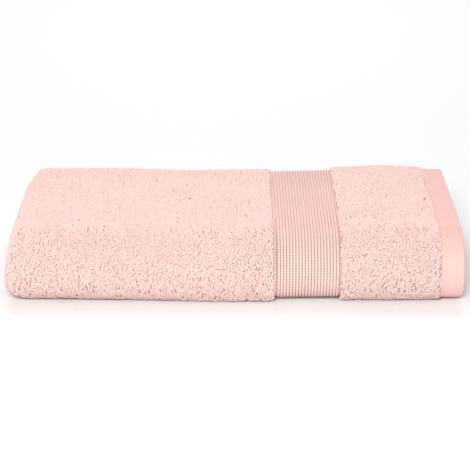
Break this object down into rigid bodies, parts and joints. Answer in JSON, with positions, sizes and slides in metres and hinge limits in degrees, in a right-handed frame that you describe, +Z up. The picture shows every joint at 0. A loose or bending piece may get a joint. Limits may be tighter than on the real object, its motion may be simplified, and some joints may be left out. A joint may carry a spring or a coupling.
{
  "type": "folded bath towel",
  "caption": "terry bath towel folded into a flat bundle with one rounded front roll, with a ribbed dobby border and a flat end hem wrapping round it",
  "frame": {"origin": "the middle of the underside of the folded towel, on the surface it lies on", "axes": "+X points to the hemmed end, -Y to the rounded front roll, +Z up"},
  "size_m": [0.3518, 0.1852, 0.0573],
  "materials": {
    "terry": "pale pink cotton terry with uncut loops on both faces",
    "dobby": "pale pink ribbed flat weave with a slight lustre",
    "flat_weave": "smooth pale pink flat weave, turned and sewn",
    "thread": "matching pink sewing thread"
  },
  "bodies": {
    "root": {"terry_body": "terry", "terry_end_panel_a": "terry", "terry_end_panel_b": "terry", "dobby_border_a": "dobby", "dobby_border_b": "dobby", "end_hem_a": "flat_weave", "end_hem_b": "flat_weave", "side_hem_outer": "flat_weave", "side_hem_inner": "flat_weave", "end_hem_stitching_a": "thread", "end_hem_stitching_b": "thread", "side_hem_stitching_outer": "thread", "side_hem_stitching_inner": "thread"}
  },
  "joints": []
}
